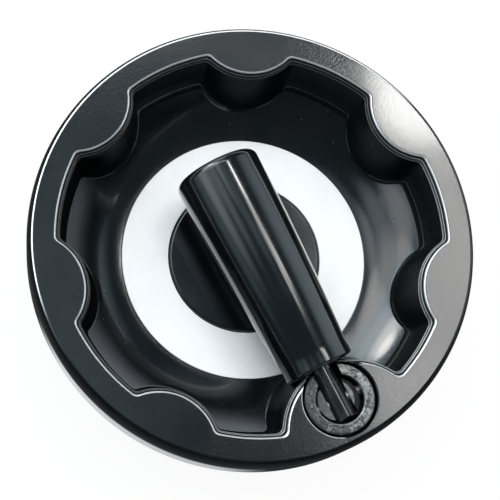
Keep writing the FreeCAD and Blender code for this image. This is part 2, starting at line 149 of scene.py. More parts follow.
class Sheet:
    """A node tree that is being filled."""

    def __init__(self, tree: bpy.types.NodeTree) -> None:
        """Clears the tree."""
        self.tree = tree
        tree.nodes.clear()

    def node(self, kind: str, settings: dict, inputs: dict, output: Union[int, str] = 0) -> Wire:
        """Adds a node.

        Args:
            kind: The node's type.
            settings: Its own settings, such as its operation, which are set first.
            inputs: Values or wires for its sockets, by name or number.
            output: The output that is wanted.

        Returns:
            The wanted output.
        """
        node = self.tree.nodes.new(kind)
        for key, value in settings.items():
            setattr(node, key, value)
        for key, value in inputs.items():
            if isinstance(value, Wire):
                self.tree.links.new(value.socket, node.inputs[key])
            else:
                node.inputs[key].default_value = value
        return Wire(self, node, output)

    def coordinates(self, kind: str) -> Wire:
        """One of the surface's coordinates."""
        return self.node("ShaderNodeTexCoord", {}, {}, kind)

    def scaled(self, vector: Wire, factor: Term) -> Wire:
        """A vector or a colour times a number."""
        return self.node("ShaderNodeVectorMath", {"operation": "SCALE"}, {0: vector, "Scale": factor})

    def place(self) -> Wire:
        """The point in the piece's own frame, in millimetres."""
        return self.scaled(self.coordinates("Object"), 1 / MM)

    def axes(self, vector: Wire) -> tuple[Wire, Wire, Wire]:
        """The three parts of a vector."""
        node = self.node("ShaderNodeSeparateXYZ", {}, {0: vector}).node
        return tuple(Wire(self, node, index) for index in range(3))

    def grain(self, point: Wire, size: float, detail: float = 2.0, roughness: float = 0.5) -> Wire:
        """Adds soft noise.

        Args:
            point: Where it is read, in millimetres.
            size: The size of its grains.
            detail: How many finer octaves it has.
            roughness: How strong they are.

        Returns:
            A value about 0.5.
        """
        inputs = {"Vector": point, "Scale": 1 / size, "Detail": detail, "Roughness": roughness}
        return self.node("ShaderNodeTexNoise", {}, inputs)

    def blend(self, share: Term, first: Union[Wire, Colour], second: Union[Wire, Colour]) -> Wire:
        """Mixes two colours, with a share of the second."""
        return self.node("ShaderNodeMix", {"data_type": "RGBA"}, {0: share, 6: first, 7: second}, 2)

    def relief(self, *layers: tuple[Wire, float]) -> Wire:
        """Turns heights into a normal.

        Args:
            layers: Heights from 0 to 1, each with what a height of 1 is in millimetres.

        Returns:
            The normal of all layers together.
        """
        inputs: dict[str, Term] = {}
        for height, depth in layers:
            inputs |= {"Height": height, "Distance": depth * MM, "Strength": 1.0}
            inputs["Normal"] = self.node("ShaderNodeBump", {}, inputs)
        return inputs["Normal"]

    def plastic(self, inputs: dict) -> Wire:
        """A Principled shader."""
        return self.node("ShaderNodeBsdfPrincipled", {}, inputs)

    def shining(self, kind: str, colour: Union[Wire, Colour]) -> Wire:
        """A shader that gives light of one colour."""
        return self.node(kind, {}, {"Color": colour, "Strength": 1.0})

    def ray(self, kind: str) -> Wire:
        """1 for rays of one kind, 0 for the others."""
        return self.node("ShaderNodeLightPath", {}, {}, kind)

    def mixed(self, share: Wire, first: Wire, second: Wire) -> Wire:
        """Mixes two shaders, with a share of the second."""
        return self.node("ShaderNodeMixShader", {}, {0: share, 1: first, 2: second})

    def finish(self, shader: Wire, kind: str = "ShaderNodeOutputMaterial") -> None:
        """Ends the sheet with its output."""
        self.node(kind, {}, {"Surface": shader})


# Finishes

@dataclass(frozen=True)
class Finish:
    """A finish that makes its material once and gives it to every piece that wears it."""

    name: str

    def material(self) -> bpy.types.Material:
        """Finds the finish's material, or makes it on its first use.

        Returns:
            The material.
        """
        made = bpy.data.materials.get(self.name)
        if made is None:
            made = bpy.data.materials.new(self.name)
            made.use_nodes = True
            self.fill(Sheet(made.node_tree))
        return made

    def fill(self, sheet: Sheet) -> None:
        """Draws the finish on a material's sheet."""
        raise NotImplementedError

    def dress(self, piece: bpy.types.Object) -> None:
        """Gives the finish to a piece, in every slot that it has.

        Args:
            piece: The piece.
        """
        if not piece.data.materials:
            piece.data.materials.append(self.material())
        for slot in piece.material_slots:
            slot.material = self.material()


@dataclass(frozen=True)
class Moulding(Finish):
    """Black phenolic under a thin gloss, with a pressed grain that breaks up its reflections' edges."""

    colour: Colour = (0.0026, 0.0038, 0.0046, 1.0)
    worn: Colour = (0.0050, 0.0062, 0.0070, 1.0)
    roughness: float = 0.12
    ior: float = 1.55
    coat_roughness: float = 0.07
    grain_size: float = 0.75
    grain_depth: float = 0.03
    cloud_size: float = 18.0
    cloud: Span = (0.35, 0.7)
    speck_size: float = 0.7
    speck: Span = (0.86, 0.89)
    speck_share: float = 0.0
    speck_colour: Colour = grey(0.3)

    def gloss(self, sheet: Sheet, point: Wire) -> dict[str, Term]:
        """Works out the glossy plastic.

        Args:
            sheet: The material's sheet.
            point: The place on the piece, in millimetres.

        Returns:
            The inputs of its shader.
        """
        coarse = sheet.grain(point, self.grain_size, 1.0)
        fine = sheet.grain(point, self.grain_size / 3, 2.0)
        cloud = sheet.grain(point, self.cloud_size, 3.0).step(*self.cloud)
        specks = sheet.grain(point, self.speck_size, 0.0).step(*self.speck) * self.speck_share
        colour = sheet.blend(cloud, self.colour, self.worn)
        return {
            "Base Color": sheet.blend(specks, colour, self.speck_colour),
            "Roughness": self.roughness + 0.04 * cloud + 0.06 * (fine - 0.5),
            "IOR": self.ior,
            "Coat Weight": 1.0,
            "Coat Roughness": self.coat_roughness,
            "Normal": sheet.relief((coarse, self.grain_depth), (fine, self.grain_depth / 3)),
        }

    def fill(self, sheet: Sheet) -> None:
        """Draws the plastic on a material's sheet."""
        sheet.finish(sheet.plastic(self.gloss(sheet, sheet.place())))


@dataclass(frozen=True)
class Spot:
    """A place on the wheel, and how squarely the surface there faces the front, where 1 is straight."""

    across: Wire
    aside: Wire
    height: Wire
    radius: Wire
    upright: Wire

    @classmethod
    def read(cls, sheet: Sheet, point: Wire) -> "Spot":
        """Reads the place of a point.

        Args:
            sheet: The material's sheet.
            point: The point, in millimetres.

        Returns:
            The place.
        """
        across, aside, height = sheet.axes(point)
        upright = sheet.axes(sheet.coordinates("Normal"))[2]
        return cls(across, aside, height, across.hypot(aside), upright)


@dataclass(frozen=True)
class Zone:
    """A part of the wheel's surface. A span is the value where the zone is 0 and the one where it is 1."""

    height: tuple[Span, ...] = ()
    radius: tuple[Span, ...] = ()
    upright: tuple[Span, ...] = ()
    way: Point2 = (1.0, 0.0)
    side: tuple[Span, ...] = ()

    def mask(self, spot: Spot) -> Wire:
        """Draws the zone.

        Args:
            spot: The place on the wheel.

        Returns:
            1 in the zone, 0 elsewhere.
        """
        steps = [spot.height.step(*span) for span in self.height]
        steps += [spot.radius.step(*span) for span in self.radius]
        steps += [spot.upright.step(*span) for span in self.upright]
        for span in self.side:
            reach = self.way[0] * spot.across + self.way[1] * spot.aside
            steps.append(reach.step(*span))
        return math.prod(steps[1:], start=steps[0])


@dataclass(frozen=True)
class WheelMoulding(Moulding):
    """The wheel's phenolic: painted highlights on its edges, dull on its walls, a painted sheen on one side of
    the dish.
    """

    # Painted highlight: the colour and metalness of the edges' bright lines, which stand in for reflections.
    edge_highlight_colour: Colour = (0.90, 0.905, 0.905, 1.0)
    edge_highlight_metallic: float = 0.65
    inner_edge: Zone = Zone(height=((51.36, 51.46), (51.98, 51.93)), radius=((76.2, 75.8),))
    outer_edge: Zone = Zone(height=((51.40, 51.50),), radius=((77.84, 77.96), (78.44, 78.32)),
                            way=(-0.996, -0.087), side=((10.0, 28.0),))
    outer_share: float = 0.95
    outer_side: Span = (77.0, 77.5)
    outer_loss: float = 0.6
    pocket_reach: Span = (15.0, 14.6)
    pocket_side: Span = (-5.0, 1.0)
    ledge_edges: Zone = Zone(height=((50.73, 50.69), (49.1, 49.15)), radius=((77.0, 76.0),),
                             upright=((0.35, 0.5), (0.97, 0.92)))
    ledge_side: Zone = Zone(way=(0.9, 0.44), side=((5.0, 45.0),))
    ledge_share: float = 0.5
    ledge_flats: Zone = Zone(height=((51.25, 51.1), (47.0, 48.0)), radius=((77.0, 76.0),),
                             upright=((0.86, 0.94),))
    inner_wall: Zone = Zone(radius=((77.0, 76.0),), upright=((0.45, 0.3),))
    outer_wall: Zone = Zone(height=((51.95, 51.6),), radius=((77.6, 77.9),))
    glossy_back: Zone = Zone(height=((44.5, 40.5),), way=(0.5, -0.866), side=((63.0, 75.0),))
    # Painted sheen: a lighter grey, dull band on one side of the dish near the wall's foot stands in for a
    # reflection.
    painted_sheen: Zone = Zone(height=((48.0, 44.0),), radius=((54.5, 65.5), (74.0, 73.0)),
                      way=(0.174, -0.985), side=((17.0, 41.0),))
    painted_sheen_colour: Colour = (0.080, 0.087, 0.094, 1.0)
    dull_roughness: float = 0.8
    wall_dullness: float = 0.78
    flank_dullness: float = 0.96
    painted_sheen_dullness: float = 0.85

    def painted_edge_highlight(self, spot: Spot) -> Wire:
        """Marks the painted highlights: near-white metallic lines on the rim's inner edge, on its outer edge
        on one side only and, more faintly, on the ledges' edges under them, mostly on one side.

        Args:
            spot: The place on the wheel.

        Returns:
            1 where the painted highlight is, 0 elsewhere.
        """
        pocket = (spot.across - PIVOT_X).hypot(spot.aside).step(*self.pocket_reach)
        inner = self.inner_edge.mask(spot) * (1 - pocket * spot.aside.step(*self.pocket_side))
        rim = (inner + self.outer_share * self.outer_edge.mask(spot)).clip()
        ledges = self.ledge_edges.mask(spot) * (0.25 + 0.75 * self.ledge_side.mask(spot))
        return (rim + self.ledge_share * ledges).clip()

    def fill(self, sheet: Sheet) -> None:
        """Draws the plastic on a material's sheet, as a glossy and a dull kind that its zones mix.

        Args:
            sheet: The sheet.
        """
        point = sheet.place()
        spot = Spot.read(sheet, point)
        inputs = self.gloss(sheet, point)
        # Painted highlight on the edges.
        edge_highlight = self.painted_edge_highlight(spot)
        walls = self.inner_wall.mask(spot) + self.ledge_flats.mask(spot)
        flank = self.outer_wall.mask(spot) * (1 - self.glossy_back.mask(spot))
        # Painted sheen near the wall's foot on one side.
        painted_sheen = self.painted_sheen.mask(spot)
        colour = sheet.blend(edge_highlight, inputs["Base Color"], self.edge_highlight_colour)
        glossy = sheet.plastic(inputs | {
            "Base Color": colour,
            "Metallic": self.edge_highlight_metallic * edge_highlight * (1 - self.outer_loss * spot.radius.step(*self.outer_side)),
            "Roughness": inputs["Roughness"] + 0.12 * edge_highlight + 0.2 * walls,
            "Coat Weight": (1 - edge_highlight - walls).clip(),
        })
        dull = sheet.plastic({
            "Base Color": sheet.blend(painted_sheen * (1 - walls), colour, self.painted_sheen_colour),
            "Roughness": self.dull_roughness,
            "Specular IOR Level": 0.0,
            "Normal": inputs["Normal"],
        })
        share = self.wall_dullness * walls + self.flank_dullness * flank + self.painted_sheen_dullness * painted_sheen
        sheet.finish(sheet.mixed(share.clip() * (1 - edge_highlight), glossy, dull))


@dataclass(frozen=True)
class SatinAluminium(Finish):
    """Matt anodised aluminium with a very fine sparkling grain."""

    colour: Colour = (0.85, 0.86, 0.865, 1.0)
    shade: Colour = (0.72, 0.73, 0.735, 1.0)
    roughness: float = 0.52
    metallic: float = 0.25
    grain_size: float = 0.28
    grain_depth: float = 0.045
    cloud_size: float = 11.0

    def fill(self, sheet: Sheet) -> None:
        """Draws the aluminium on a material's sheet.

        Args:
            sheet: The sheet.
        """
        point = sheet.place()
        grain = sheet.grain(point, self.grain_size, 2.0, 0.6)
        cloud = sheet.grain(point, self.cloud_size, 3.0).step(0.3, 0.75)
        share = 0.6 * grain.step(0.3, 0.7) + 0.2 * cloud
        sheet.finish(sheet.plastic({
            "Base Color": sheet.blend(share, self.colour, self.shade),
            "Metallic": self.metallic,
            "Roughness": self.roughness + 0.12 * (grain - 0.5),
            "Normal": sheet.relief((grain, self.grain_depth)),
        }))


@dataclass(frozen=True)
class CastZinc(Finish):
    """A rough casting that is dark with grease in its hollows and bright on its worn high spots, brighter
    toward one side and its top by painted light, with painted shade lower in the well and a painted shadow in
    the bore.
    """

    dark: Colour = (0.028, 0.029, 0.029, 1.0)
    bright: Colour = (0.33, 0.34, 0.33, 1.0)
    # Painted shadow: the near-black put in the well beyond a circle off the pivot's centre.
    hollow: Colour = grey(0.004)
    roughness: float = 0.30
    grease: float = 0.7
    grease_roughness: float = 0.12
    lump_size: float = 2.1
    lump_depth: float = 0.16
    pit_size: float = 0.7
    fleck_size: float = 0.42
    bore_edge: Span = (9.25, 9.05)
    # Painted light: the bright spots are stronger toward one side and toward the sleeve's top, and dimmed by
    # painted shade lower in the well.
    painted_light_way: Point2 = (0.46, 0.88)
    painted_light_span: Span = (-9.0, 6.0)
    painted_shade_height: Span = (49.0, 50.2)
    # Painted shadow: a near-black crescent and band in the well, outside a circle off the pivot's centre and
    # below the sleeve's top.
    painted_shadow_centre: Point2 = (-0.65, -1.25)
    painted_shadow_radius: Span = (6.9, 7.2)
    painted_shadow_height: Span = (50.0, 49.5)

    def fill(self, sheet: Sheet) -> None:
        """Draws the casting on a material's sheet.

        Args:
            sheet: The sheet.
        """
        point = sheet.place()
        across, aside, height = sheet.axes(point)
        across = across - PIVOT_X
        lumps = sheet.grain(point, self.lump_size, 3.0, 0.6)
        pits = sheet.grain(point, self.pit_size, 2.0, 0.6)
        flecks = sheet.grain(point, self.fleck_size, 1.0).step(0.60, 0.68)
        # Painted light: more bright spots toward +Y (bare) and toward one side (side); fewer lower down, as
        # painted shade.
        bare = aside.step(-9.0, 9.0)
        spots = (0.7 * lumps + 0.3 * pits + 0.12 * (bare - 0.5)).step(0.49, 0.62)
        edge = across.hypot(aside).step(*self.bore_edge)
        side = (self.painted_light_way[0] * across + self.painted_light_way[1] * aside).step(*self.painted_light_span)
        high = (spots + 0.6 * flecks + 0.5 * edge) * (0.55 + 0.45 * side)
        high = high * (0.35 + 0.65 * height.step(*self.painted_shade_height))
        # Painted shadow in the well.
        painted_shadow = (across - self.painted_shadow_centre[0]).hypot(aside - self.painted_shadow_centre[1])
        painted_shadow = painted_shadow.step(*self.painted_shadow_radius) * height.step(*self.painted_shadow_height)
        high = (high * (1 - painted_shadow)).clip()
        colour = sheet.blend(high, self.dark, self.bright)
        sheet.finish(sheet.plastic({
            "Base Color": sheet.blend(painted_shadow, colour, self.hollow),
            "Metallic": 0.25 + 0.6 * high,
            "Roughness": self.roughness + 0.12 * (1 - high),
            "Coat Weight": self.grease * (1 - high) * (1 - painted_shadow),
            "Coat Roughness": self.grease_roughness,
            "Normal": sheet.relief((lumps, self.lump_depth), (pits, self.lump_depth / 2)),
        }))


@dataclass(frozen=True)
class Steel(Finish):
    """Machined steel, bare, plated or blackened, with fine tool marks and faint stains."""

    colour: Colour = (0.50, 0.50, 0.50, 1.0)
    shade: Colour = (0.36, 0.36, 0.365, 1.0)
    roughness: float = 0.3
    metallic: float = 1.0
    oil: float = 0.0
    oil_roughness: float = 0.13
    mark_size: float = 0.35
    mark_depth: float = 0.006
    stain_size: float = 4.0

    def fill(self, sheet: Sheet) -> None:
        """Draws the steel on a material's sheet.

        Args:
            sheet: The sheet.
        """
        point = sheet.place()
        marks = sheet.grain(point, self.mark_size, 2.0, 0.6)
        stains = sheet.grain(point, self.stain_size, 3.0, 0.6).step(0.4, 0.7)
        sheet.finish(sheet.plastic({
            "Base Color": sheet.blend(stains, self.colour, self.shade),
            "Metallic": self.metallic,
            "Roughness": self.roughness + 0.12 * stains + 0.1 * (marks - 0.5),
            "Coat Weight": self.oil,
            "Coat Roughness": self.oil_roughness,
            "Normal": sheet.relief((marks, self.mark_depth)),
        }))


@dataclass(frozen=True)
class BearingPlastic(Finish):
    """Natural white acetal, slightly stained by grease."""

    colour: Colour = (0.72, 0.70, 0.64, 1.0)
    stain: Colour = (0.42, 0.38, 0.30, 1.0)
    roughness: float = 0.42
    stain_size: float = 3.0
    grain_size: float = 0.3
    grain_depth: float = 0.01

    def fill(self, sheet: Sheet) -> None:
        """Draws the plastic on a material's sheet.

        Args:
            sheet: The sheet.
        """
        point = sheet.place()
        stains = sheet.grain(point, self.stain_size, 3.0, 0.6).step(0.5, 0.75)
        sheet.finish(sheet.plastic({
            "Base Color": sheet.blend(0.6 * stains, self.colour, self.stain),
            "Roughness": self.roughness + 0.15 * stains,
            "Normal": sheet.relief((sheet.grain(point, self.grain_size), self.grain_depth)),
        }))


@dataclass(frozen=True)
class WhitePaper(Finish):
    """The floor's paper, which is white to the camera and keeps the wheel's shadow."""

    colour: Colour = grey(0.86)
    fibre_colour: Colour = grey(0.90)
    fibre_size: float = 1.2
    fibre_depth: float = 0.02
    camera_share: float = 0.94
    glossy_share: float = 0.45

    def fill(self, sheet: Sheet) -> None:
        """Draws the paper on a material's sheet.

        Args:
            sheet: The sheet.
        """
        fibre = sheet.grain(sheet.place(), self.fibre_size, 3.0)
        paper = sheet.node("ShaderNodeBsdfDiffuse", {}, {
            "Color": sheet.blend(fibre, self.colour, self.fibre_colour),
            "Normal": sheet.relief((fibre, self.fibre_depth)),
        })
        white = sheet.shining("ShaderNodeEmission", grey(1.0))
        seen = self.camera_share * sheet.ray("Is Camera Ray")
        share = (seen + self.glossy_share * sheet.ray("Is Glossy Ray")).clip()
        sheet.finish(sheet.mixed(share, paper, white))


class Wear(Enum):
    """The finishes of the handwheel and of the floor."""

    WHEEL = WheelMoulding("black_phenolic", speck_share=0.4)
    CAP = Moulding("black_cap_plastic", grain_depth=0.02)
    GRIP = Moulding("polished_black_phenolic", roughness=0.15, grain_depth=0.012)
    RING = SatinAluminium("satin_anodised_aluminium")
    CASTING = CastZinc("greased_zinc_casting")
    BLACKENED = Steel("black_oxide_steel", (0.012, 0.013, 0.014, 1.0), (0.022, 0.022, 0.023, 1.0),
                      roughness=0.16, metallic=0.3, oil=1.0, mark_depth=0.002)
    TURNED = Steel("turned_steel")
    PLATED = Steel("zinc_plated_steel", (0.60, 0.61, 0.62, 1.0), (0.46, 0.47, 0.47, 1.0), roughness=0.33)
    SPRING = Steel("drawn_spring_steel", (0.38, 0.38, 0.40, 1.0), (0.28, 0.28, 0.29, 1.0), roughness=0.28)
    BEARING = BearingPlastic("white_bearing_plastic")
    PAPER = WhitePaper("white_paper")


# Mesh work

@dataclass(frozen=True)
class Corner:
    """A corner of a section, with the radius that rounds it."""

    across: float
    along: float
    radius: float = 0.0
    steps: int = 6

    @property
    def point(self) -> Vector:
        """The corner's place."""
        return Vector((self.across, self.along))


def rounded(corners: Sequence[Corner], closed: bool = True) -> list[Point2]:
    """Samples a section whose corners are rounded.

    Args:
        corners: The corners in order.
        closed: Whether the last corner joins the first.

    Returns:
        The section's points.
    """
    points: list[Point2] = []
    for index, corner in enumerate(corners):
        here = corner.point
        inside = closed or 0 < index < len(corners) - 1
        if corner.radius <= 0 or not inside:
            points.append(tuple(here))
            continue
        back = (corners[index - 1].point - here).normalized()
        ahead = (corners[(index + 1) % len(corners)].point - here).normalized()
        half = back.angle(ahead) / 2
        reach = corner.radius / math.tan(half)
        centre = here + (back + ahead).normalized() * (corner.radius / math.sin(half))
        start = here + back * reach - centre
        sweep = start.angle_signed(here + ahead * reach - centre)
        for step in range(corner.steps + 1):
            arm = start.copy()
            arm.rotate(Matrix.Rotation(-sweep * step / corner.steps, 2))
            points.append(tuple(centre + arm))
    return points


def arc(centre: Point2, across: float, along: float, start: float, end: float, steps: int) -> list[Point2]:
    """Samples an arc of an ellipse.

    Args:
        centre: The ellipse's centre.
        across: Its half width.
        along: Its half height.
        start: The angle of the first point, in degrees.
        end: The angle of the last point, in degrees.
        steps: The number of spans.

    Returns:
        The arc's points, with both ends.
    """
    angles = [math.radians(start + (end - start) * step / steps) for step in range(steps + 1)]
    return [(centre[0] + across * math.cos(angle), centre[1] + along * math.sin(angle)) for angle in angles]


def polar(radius: float, angle: float) -> Point2:
    """The point at a radius, in a direction in radians."""
    return (radius * math.cos(angle), radius * math.sin(angle))


def between(first: Sequence[float], second: Sequence[float], share: float) -> tuple[float, ...]:
    """The point a share of the way from one point to another."""
    return tuple(a + (b - a) * share for a, b in zip(first, second))


def revolved(section: Sequence[Point2], angles: Sequence[float]) -> list[list[Point3]]:
    """The rings that a section's points draw about Z, at some angles in radians."""
    return [[(*polar(radius, angle), height) for angle in angles] for radius, height in section]


class Draft:
    """Collects rings of points and the faces between them."""

    def __init__(self) -> None:
        """Starts empty."""
        self.points: list[Point3] = []
        self.faces: list[tuple[int, ...]] = []

    def ring(self, points: Sequence[Point3]) -> range:
        """Adds a ring of points.

        Args:
            points: The points in order.

        Returns:
            Their numbers.
        """
        first = len(self.points)
        self.points.extend(points)
        return range(first, len(self.points))

    def strip(self, first: Sequence[int], second: Sequence[int]) -> None:
        """Joins two rings of equal length with faces.

        Args:
            first: The points' numbers in one ring.
            second: The points' numbers in the other.
        """
        for index in range(len(first)):
            after = (index + 1) % len(first)
            self.faces.append((first[index], first[after], second[after], second[index]))

    def rings(self, rings: Sequence[Sequence[Point3]], closed: bool = True) -> list[range]:
        """Adds rings and joins each to the next.

        Args:
            rings: The rings, all of one length.
            closed: Whether the last joins the first.

        Returns:
            The numbers of each ring's points.
        """
        made = [self.ring(points) for points in rings]
        for first, second in zip(made, made[1:] + made[:1] if closed else made[1:]):
            self.strip(first, second)
        return made

    def bar(self, rings: Sequence[Sequence[Point3]]) -> None:
        """Adds a bar through rings, with a face over each end."""
        made = self.rings(rings, closed=False)
        self.faces += [tuple(reversed(made[0])), tuple(made[-1])]

    def block(self, low: Point3, high: Point3) -> None:
        """Adds a box between two corners."""
        (left, near, foot), (right, far, top) = low, high
        self.bar([[(left, near, z), (right, near, z), (right, far, z), (left, far, z)] for z in (foot, top)])

    def turn(self, section: Sequence[Point2], segments: int) -> None:
        """Turns a closed section about Z.

        Args:
            section: Radius and height of its points. One with both ends on the axis makes a solid.
            segments: The number of steps round the axis.
        """
        solid = section[0][0] == 0
        angles = [2 * math.pi * step / segments for step in range(segments)]
        made = self.rings(revolved(section[1:-1] if solid else section, angles), closed=not solid)
        ends = ((made[0], section[0]), (made[-1], section[-1])) if solid else ()
        for ring, (_, height) in ends:
            pole = self.ring([(0.0, 0.0, height)])[0]
            for index, number in enumerate(ring):
                self.faces.append((number, ring[(index + 1) % segments], pole))

    def piece(self, name: str, place: Matrix | None = None) -> bpy.types.Object:
        """Makes an object of the draft.

        Args:
            name: The object's name.
            place: Where its points go, in millimetres.

        Returns:
            The object, in metres, with its faces turned outward.
        """
        matrix = Matrix.Scale(MM, 4) @ (place or Matrix())
        mesh = bpy.data.meshes.new(name)
        mesh.from_pydata([matrix @ Vector(point) for point in self.points], [], self.faces)
        work = bmesh.new()
        work.from_mesh(mesh)
        bmesh.ops.recalc_face_normals(work, faces=work.faces)
        work.to_mesh(mesh)
        work.free()
        piece = bpy.data.objects.new(name, mesh)
        bpy.context.scene.collection.objects.link(piece)
        return piece


def turned(
        name: str, section: Sequence[Point2], segments: int,
        place: Matrix | None = None) -> bpy.types.Object:
    """Makes a piece by turning a section.

    Args:
        name: The piece's name.
        section: Radius and height of the section's points.
        segments: The number of steps round the axis.
        place: Where the piece goes, in millimetres.

    Returns:
        The piece.
    """
    draft = Draft()
    draft.turn(section, segments)
    return draft.piece(name, place)


def rod(name: str, radius: float, ends: Span, place: Matrix) -> bpy.types.Object:
    """Makes a plain round bar between two heights on the Z axis of a place."""
    section = [(0.0, ends[0]), (radius, ends[0]), (radius, ends[1]), (0.0, ends[1])]
    return turned(name, section, ROD_SEGMENTS, place)


def settle(piece: bpy.types.Object) -> None:
    """Applies a piece's modifiers.

    Args:
        piece: The piece.
    """
    graph = bpy.context.evaluated_depsgraph_get()
    mesh = bpy.data.meshes.new_from_object(piece.evaluated_get(graph))
    piece.modifiers.clear()
    old = piece.data
    piece.data = mesh
    bpy.data.meshes.remove(old)


def carve(piece: bpy.types.Object, cutters: Sequence[bpy.types.Object]) -> None:
    """Cuts others out of a piece, which uses them up.

    Args:
        piece: The piece that is cut.
        cutters: The cutting pieces.
    """
    for cutter in cutters:
        cut = piece.modifiers.new("cut", "BOOLEAN")
        cut.operation = "DIFFERENCE"
        cut.solver = "EXACT"
        cut.object = cutter
        settle(piece)
        bpy.data.meshes.remove(cutter.data)


def smooth(piece: bpy.types.Object, angle: float = 34.0) -> None:
    """Shades a piece smooth, but for its sharp edges.

    Args:
        piece: The piece.
        angle: The angle from which an edge is sharp, in degrees.
    """
    mesh = piece.data
    mesh.shade_smooth()
    mesh.set_sharp_from_angle(angle=math.radians(angle))
    weigh = piece.modifiers.new("weigh", "WEIGHTED_NORMAL")
    weigh.keep_sharp = True
    settle(piece)


def seat(piece: bpy.types.Object, body: str, wear: Wear, node: str) -> None:
    """Finishes a piece and hands it over.

    Args:
        piece: The finished mesh.
        body: The body that it rides on.
        wear: Its finish.
        node: The solid that it stands for.
    """
    wear.value.dress(piece)
    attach(piece, body)
    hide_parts(node)
    LOG.info("%s: %d faces on %s", piece.name, len(piece.data.polygons), body)


def dress_node(node: str, wear: Wear) -> None:
    """Gives a finish to a solid that is shown as it is."""
    wear.value.dress(bpy.data.objects[node])
    LOG.info("%s: %s", node, wear.name.lower())


# The wheel

@dataclass(frozen=True)
class LobedEdge:
    """The rim's inner outline: seven lobes on a circle, the first of them larger for the socket."""

    circle: float = 70.0
    lobes: int = 7
    lobe_tip: float = 61.7
    lobe_round: float = 20.0
    socket_tip: float = 51.8
    socket_round: float = 24.7
    corner_round: float = 2.6
    corner_steps: int = 10
    lobe_steps: int = 34
    span_steps: int = 22

    def lobe(self, index: int, inset: float) -> tuple[list[Point2], float, float]:
        """Samples one lobe with its two corner rounds.

        Args:
            index: The lobe's number. Lobe 0 carries the socket.
            inset: How far the outline is moved toward the wheel's centre.

        Returns:
            The lobe's points, and the directions of its first and last point on the circle.
        """
        tip, bend = (self.lobe_tip, self.lobe_round) if index else (self.socket_tip, self.socket_round)
        distance = tip + bend
        near = self.circle - inset - self.corner_round
        far = bend + inset + self.corner_round
        spread = math.acos((near ** 2 + distance ** 2 - far ** 2) / (2 * near * distance))
        middle = Vector((distance, 0.0))
        centre = Vector(polar(near, spread))
        outward = centre.normalized()
        toward = (middle - centre).normalized()
        half: list[Vector] = []
        for step in range(self.corner_steps + 1):
            half.append(centre + outward.slerp(toward, step / self.corner_steps) * self.corner_round)
        start = (-toward).angle(Vector((-1.0, 0.0)))
        for step in range(1, self.lobe_steps // 2 + 1):
            angle = start * (1 - 2 * step / self.lobe_steps)
            half.append(middle + Vector((-math.cos(angle), math.sin(angle))) * (bend + inset))
        mirrored = [Vector((point.x, -point.y)) for point in half[:-1]]
        turn = 2 * math.pi * index / self.lobes
        spin = Matrix.Rotation(turn, 2)
        return [tuple(spin @ point) for point in mirrored + half[::-1]], turn - spread, turn + spread

    def outline(self, inset: float) -> list[Point2]:
        """Samples the whole outline, always with the same number of points.

        Args:
            inset: How far it is moved toward the wheel's centre.

        Returns:
            Its points.
        """
        sampled = [self.lobe(index, inset) for index in range(self.lobes)]
        points: list[Point2] = []
        for index, (lobe, _, last) in enumerate(sampled):
            points.extend(lobe)
            first = sampled[(index + 1) % self.lobes][1]
            if index == self.lobes - 1:
                first += 2 * math.pi
            for step in range(1, self.span_steps):
                points.append(polar(self.circle - inset, last + (first - last) * step / self.span_steps))
        return points


@dataclass(frozen=True)
class Ledge:
    """A ledge of the rim's inner edge, with its two ends measured inward and the first point of its root."""

    start: float
    end: float
    height: float
    root: Point2
    edge_round: float
    root_width: float = 0.1

    def section(self) -> list[Point2]:
        """Samples the ledge.

        Returns:
            The points of its root and of its rounded edge.
        """
        across, above = self.root
        root = [(self.start + across, self.height + above), (self.start + self.root_width, self.height)]
        centre = (self.end - self.edge_round, self.height - self.edge_round)
        return root + arc(centre, self.edge_round, self.edge_round, 90.0, 0.0, 4)


class SlopedWall:
    """The sloped wall under a ledge, read between outlines at growing insets."""

    SPACING = 0.35
    COUNT = 20

    def __init__(self, edge: LobedEdge, top: Ledge, slope: float) -> None:
        """Samples the outlines.

        Args:
            edge: The rim's inner outline.
            top: The ledge from which the slope is counted.
            slope: How far the wall leans inward, in degrees.
        """
        self.outlines = [edge.outline(top.end + self.SPACING * step) for step in range(self.COUNT)]
        self.top = top.height
        self.run = math.tan(math.radians(slope))

    def point(self, number: int, height: float) -> Point3:
        """Finds one point of the wall.

        Args:
            number: The point's number in the outline.
            height: Its height.

        Returns:
            The point.
        """
        place = (self.top - height) * self.run / self.SPACING
        floor = min(max(int(place), 0), self.COUNT - 2)
        first, second = self.outlines[floor][number], self.outlines[floor + 1][number]
        return (*between(first, second, place - floor), height)


